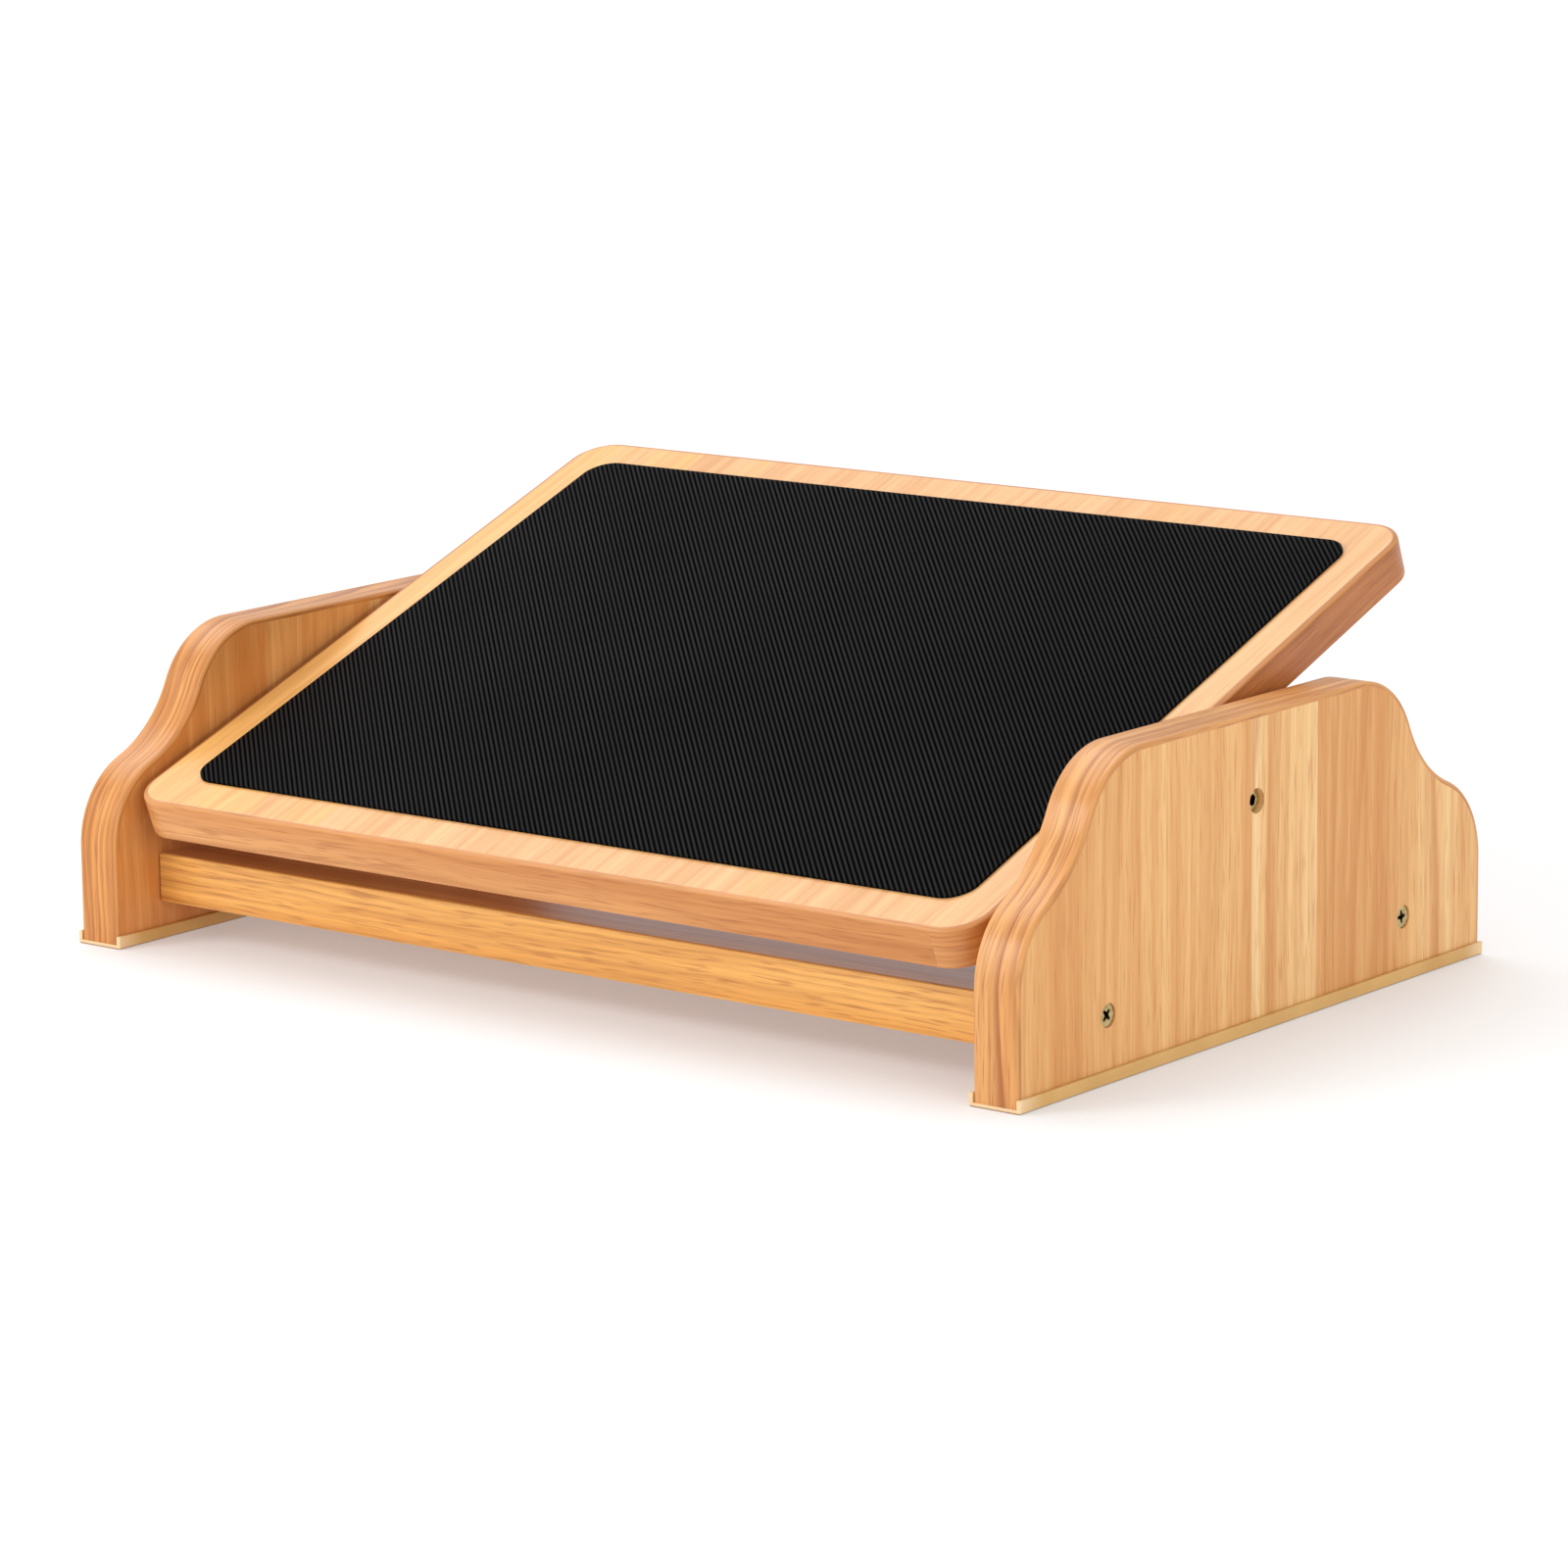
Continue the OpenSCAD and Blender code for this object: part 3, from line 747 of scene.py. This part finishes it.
def foot_strip(side):
    """A U-shaped channel with soft corners, and a lip each side of the panel's foot."""
    name = side_name(side) + "_foot_strip"
    lo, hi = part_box(name)
    panel_lo, panel_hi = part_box(side_name(side) + "_panel_edge_band")
    middle = (lo.x + hi.x) / 2
    half = (hi.x - lo.x) / 2
    inner = (panel_hi.x - panel_lo.x) / 2
    web, lip = panel_lo.z, hi.z
    soft, tip, bevel, ease = 0.9 * MM, 0.55 * MM, 0.25 * MM, 0.2 * MM
    right_half = [(half - soft, 0.0)]
    right_half += arc((half - soft, soft), soft, -90, 0, 5)[1:]
    right_half += arc((half - tip, lip - tip), tip, 0, 90, 5)
    right_half += [(inner + ease, lip), (inner, lip - bevel), (inner, web)]
    section = right_half + [(-x, z) for x, z in right_half[::-1]]

    def ring(y, shrink=0.0):
        return [Vector((middle + x * (1 - shrink), y, z * (1 - shrink) + shrink * lip / 2))
                for x, z in section]

    steps = 24
    ys = [lo.y + bevel + (hi.y - lo.y - 2 * bevel) * i / steps for i in range(steps + 1)]
    end_shrink = 0.02
    rings = [ring(lo.y, end_shrink)] + [ring(y) for y in ys] + [ring(hi.y, end_shrink)]
    shape = Shape()
    # the cut ends are marked for a painted glow, and the marks fade over the first and last step
    shape.skin(rings, [1, 1] + [0] * (steps - 1) + [1, 1, 1])
    shape.object(side_name(side) + "_strip", STRIP, "base", [name])


# ---------------------------------------------------------------- fasteners

def circle(place, radius, z, around):
    """A ring of points about Z. The radius is a number, or a function of the turn from 0 to 1."""
    ring = []
    for k in range(around):
        a = 2 * math.pi * k / around
        r = radius(k / around) if callable(radius) else radius
        ring.append(place @ Vector((r * math.cos(a), r * math.sin(a), z)))
    return ring


def sideways(side, x, y, z):
    """Places a shape drawn along +Z so that it points out to one side of the object."""
    return Matrix.Translation((x, y, z)) @ Matrix.Rotation(side * math.pi / 2, 4, "Y")


def thread_crest(z, turn, pitch, sharpness):
    """How near a point on a thread is to its crest, from 0 to 1."""
    phase = (z / pitch - turn) % 1.0
    return max(0.0, 1 - abs(phase - 0.5) * sharpness)


def threaded(shape, place, core_r, outer_r, top, bottom, pitch, tip=0.0, around=24):
    """A threaded shank, pointing down from top. Its last `tip` runs to a point."""
    per_turn, blunt, sharpness = 6, 0.03, 2.6
    smooth_r = outer_r * 0.86           # of the shank where the thread begins
    count = int((top - bottom) / pitch * per_turn) + 1
    rings = []
    for i in range(count + 1):
        z = top + (bottom - top) * i / count
        taper = min(1.0, (z - bottom) / tip + blunt) if tip else 1.0
        start = min(1.0, (top - z) / (2 * pitch))

        def radius(turn):
            thread_r = core_r + (outer_r - core_r) * thread_crest(z, turn, pitch, sharpness)
            return (smooth_r + (thread_r - smooth_r) * start) * taper

        rings.append(circle(place, radius, z, around))
    shape.skin(rings)


def recessed_head(shape, place, outline, drive, around, depth, below, floor_scale):
    """A head's top face between its rim and its driving recess, with the recess's walls and floor.

    outline and below hold (radius, height) rings, first over the top and then down the outside. drive is
    the recess's edge, as (x, y) points, and floor_scale the size of its floor against that edge.
    """
    dish = outline[0][1]
    steps = ((0.02, -depth), (floor_scale, -depth * 0.97), (0.95, dish - 0.15 * MM), (1.03, dish))
    rings = [[place @ Vector((x * size, y * size, z)) for x, y in drive] for size, z in steps]
    rings += [circle(place, radius, z, around) for radius, z in outline + below]
    in_recess = len(steps) - 1          # the last of them lies on the face
    # the recess's walls and floor are marked 1, and the metal paints them dark as shade
    shape.skin(rings, [1.0] * in_recess + [0.0] * (len(rings) - in_recess))


def cross_edge(span, width, per_edge=4):
    """Edge of a cross recess: 12 * per_edge points, from the middle of a wing's end round to it again."""
    s, w = span / 2, width / 2
    corners = []
    for k in range(4):
        c, d = math.cos(math.pi / 2 * k), math.sin(math.pi / 2 * k)
        for x, y in ((s, -w * 0.8), (s, w * 0.8), (w * 1.25, w * 1.25)):
            corners.append((c * x - d * y, d * x + c * y))
    points = []
    for i, a in enumerate(corners):
        b = corners[(i + 1) % 12]
        points += [(a[0] + (b[0] - a[0]) * j / per_edge, a[1] + (b[1] - a[1]) * j / per_edge)
                   for j in range(per_edge)]
    half = per_edge // 2
    return points[half:] + points[:half]


def wood_screw(shape, place, head_r, shank_r, length, turn):
    """A countersunk screw with a cross recess, its head's top at zero, pointing down."""
    around = 48
    spun = place @ Matrix.Rotation(turn, 4, "Z")
    rim = [(head_r * 0.68, -0.14 * MM), (head_r * 0.82, -0.06 * MM), (head_r * 0.93, 0.0),
           (head_r * 0.985, -0.06 * MM), (head_r, -0.25 * MM)]
    cone, span, wing, recess, pitch, tip = 2.9 * MM, 5.0 * MM, 1.3 * MM, 1.8 * MM, 1.9 * MM, 5 * MM
    below = [(head_r * 0.985, -0.42 * MM), (shank_r * 1.12, -cone), (shank_r * 0.9, -cone - 0.3 * MM)]
    recessed_head(shape, spun, rim, cross_edge(span, wing), around, recess, below, 0.45)
    threaded(shape, spun, shank_r * 0.68, shank_r, -cone - 0.2 * MM, -length, pitch, tip)


def rail_screws():
    shank_r = 2.25 * MM
    turns = {"front_right": 45, "front_left": 20, "rear_right": 5, "rear_left": 70}
    for name, turn in turns.items():
        lo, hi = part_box(name + "_screw")
        side = RIGHT if hi.x > 0 else LEFT
        centre = (lo + hi) / 2
        top = hi.x if side == RIGHT else -lo.x
        place = sideways(side, side * top, centre.y, centre.z)
        shape = Shape()
        wood_screw(shape, place, (hi.y - lo.y) / 2, shank_r, hi.x - lo.x, math.radians(turn))
        shape.object(name + "_rail_screw", BRASSY, "base", [name + "_screw"])


def batten_screws():
    shape = Shape()
    lo, hi = tilted_box("batten_screws")
    head_r, shank_r = 4 * MM, 2 * MM
    for number, x in enumerate((-150, -60, 60, 150)):
        place = Matrix.Translation((x * MM, 0, lo.z)) @ Matrix.Rotation(math.pi, 4, "X")
        wood_screw(shape, place, head_r, shank_r, hi.z - lo.z, math.radians(25 + 40 * number))
    shape.object("batten_wood_screws", BRASSY, "platform", ["batten_screws"], ON_PLATFORM)


def pivot_bolt(side):
    """A cap-head bolt: a bevelled head with a hexagon socket, and a machine thread at its end."""
    name = side_name(side) + "_pivot_bolt"
    lo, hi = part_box(name)
    top = hi.x if side == RIGHT else -lo.x
    length = hi.x - lo.x
    head_r = (hi.y - lo.y) / 2
    head_h, shank_r, socket, recess = 5 * MM, 2.5 * MM, 2 * MM, 2.6 * MM
    thread, overlap, pitch = 18 * MM, 0.2 * MM, 0.8 * MM
    around = 48
    hexagon = []
    for k in range(around):
        a = 2 * math.pi * k / around
        r = socket / math.cos((a + math.pi / 6) % (math.pi / 3) - math.pi / 6)
        hexagon.append((r * math.cos(a), r * math.sin(a)))
    place = sideways(side, side * top, HINGE.y, HINGE.z)
    spun = place @ Matrix.Rotation(math.radians(14), 4, "Z")
    shape = Shape()
    rim = [(head_r - 0.7 * MM, 0.0), (head_r - 0.35 * MM, -0.05 * MM), (head_r - 0.1 * MM, -0.3 * MM),
           (head_r - 0.02 * MM, -0.6 * MM)]
    below = [(head_r - 0.02 * MM, -head_h + 0.3 * MM), (head_r - 0.25 * MM, -head_h),
             (shank_r + 0.2 * MM, -head_h), (shank_r * 0.98, -head_h - 0.2 * MM),
             (shank_r * 0.98, -length + thread)]
    recessed_head(shape, spun, rim, hexagon, around, recess, below, 0.96)
    threaded(shape, spun, shank_r * 0.84, shank_r * 0.985, -length + thread + overlap, -length, pitch)
    shape.object(side_name(side) + "_cap_bolt", BRASSY, "platform", [name])


def ring_piece(shape, place, inner_r, outer_r, bottom, top, bevel, around=48):
    """A tube with bevelled ends, closed all round."""
    profile = [(inner_r, bottom + bevel), (inner_r + bevel, bottom), (outer_r - bevel, bottom),
               (outer_r, bottom + bevel), (outer_r, top - bevel), (outer_r - bevel, top),
               (inner_r + bevel, top), (inner_r, top - bevel)]
    shape.skin([circle(place, radius, z, around) for radius, z in profile], path_closed=True)


def pivot_rings(side):
    """The bush in the side panel and the spacer washer beside the platform."""
    for part, material, slot, inner_r, bevel in (
            ("pivot_bush", BRASS, "bush", 2.55 * MM, 0.35 * MM),
            ("spacer_washer", NYLON, "washer", 2.7 * MM, 0.4 * MM)):
        name = side_name(side) + "_" + part
        lo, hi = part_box(name)
        place = sideways(RIGHT, (lo.x + hi.x) / 2, HINGE.y, HINGE.z)
        half = (hi.x - lo.x) / 2
        shape = Shape()
        ring_piece(shape, place, inner_r, (hi.y - lo.y) / 2, -half, half, bevel)
        shape.object(name + "_ring", material, "base", [name])


def threaded_insert(side):
    """A brass insert with a coarse outer thread for wood."""
    name = side_name(side) + "_threaded_insert"
    lo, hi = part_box(name)
    place = sideways(RIGHT, (lo.x + hi.x) / 2, HINGE.y, HINGE.z)
    half = (hi.x - lo.x) / 2
    outer_r = (hi.z - lo.z) / 2
    around, pitch, per_turn, sharpness = 36, 2.2 * MM, 6, 2.8
    thread_h, bore_r, bore_depth, chamfer = 0.7 * MM, 2.51 * MM, 19 * MM, 0.4 * MM
    count = int(2 * half / pitch * per_turn)
    rings = []
    for i in range(count + 1):
        z = -half + 2 * half * i / count
        fade = min(1.0, (half - abs(z)) / (0.6 * pitch))

        def radius(turn):
            return outer_r - thread_h * (1 - thread_crest(z, turn, pitch, sharpness) * fade)

        rings.append(circle(place, radius, z, around))
    mouth = [circle(place, bore_r + chamfer, half * side, around),
             circle(place, bore_r, (half - chamfer) * side, around),
             circle(place, bore_r, (half - bore_depth) * side, around)]
    if side == LEFT:
        rings = rings[::-1]
    shape = Shape()
    shape.skin(rings + mouth)
    shape.object(side_name(side) + "_brass_insert", BRASS, "platform", [name])


def fluted_dowels(end):
    """Fluted pins with chamfered ends, two in each joint of a rail."""
    name = end + "_rail_dowels"
    lo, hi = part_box(name)
    dowel_r = (hi.z - lo.z) / 2
    half, chamfer, around = 15 * MM, 1 * MM, 64
    flutes, flute_depth = 16, 0.28 * MM
    inner = (chamfer - half, 2 * chamfer - half, 0, half - 2 * chamfer, half - chamfer)
    profile = [(dowel_r - chamfer, -half), *((dowel_r, z) for z in inner), (dowel_r - chamfer, half)]
    shape = Shape()
    for side in (RIGHT, LEFT):
        outer_end = hi.x if side == RIGHT else lo.x
        for y in (lo.y + dowel_r, hi.y - dowel_r):
            place = sideways(RIGHT, outer_end - side * half, y, (lo.z + hi.z) / 2)
            rings = []
            for base_r, z in profile:
                depth = flute_depth if abs(z) < half - chamfer / 2 else 0.0
                rings.append(circle(place, lambda turn: base_r - depth * max(
                    0.0, math.cos(2 * math.pi * flutes * turn)), z, around))
            shape.skin(rings, [z for _, z in profile] + [0], [0.01 * k / around for k in range(around + 1)])
    shape.object(end + "_fluted_dowels", WOODS["dowel"], "base", [name])


# ---------------------------------------------------------------- put it together

make_camera()
make_studio()

for cad_node, look in (("right_side_panel", "right_panel"), ("left_side_panel", "left_panel"),
                       ("front_rail", "rail"), ("rear_rail", "rail"),
                       ("platform_board", "tread"), ("pivot_batten", "batten")):
    cad_mesh = frame["nodes"][cad_node].data
    cad_mesh.materials.clear()
    cad_mesh.materials.append(WOODS[look])

platform_edge_band()
tread_mat()
batten_edge_bands()
batten_screws()
rail_screws()
for this_side in (RIGHT, LEFT):
    panel_edge_band(this_side)
    foot_strip(this_side)
    pivot_bolt(this_side)
    pivot_rings(this_side)
    threaded_insert(this_side)
for this_end in ("front", "rear"):
    rail_edge_bands(this_end)
    fluted_dowels(this_end)
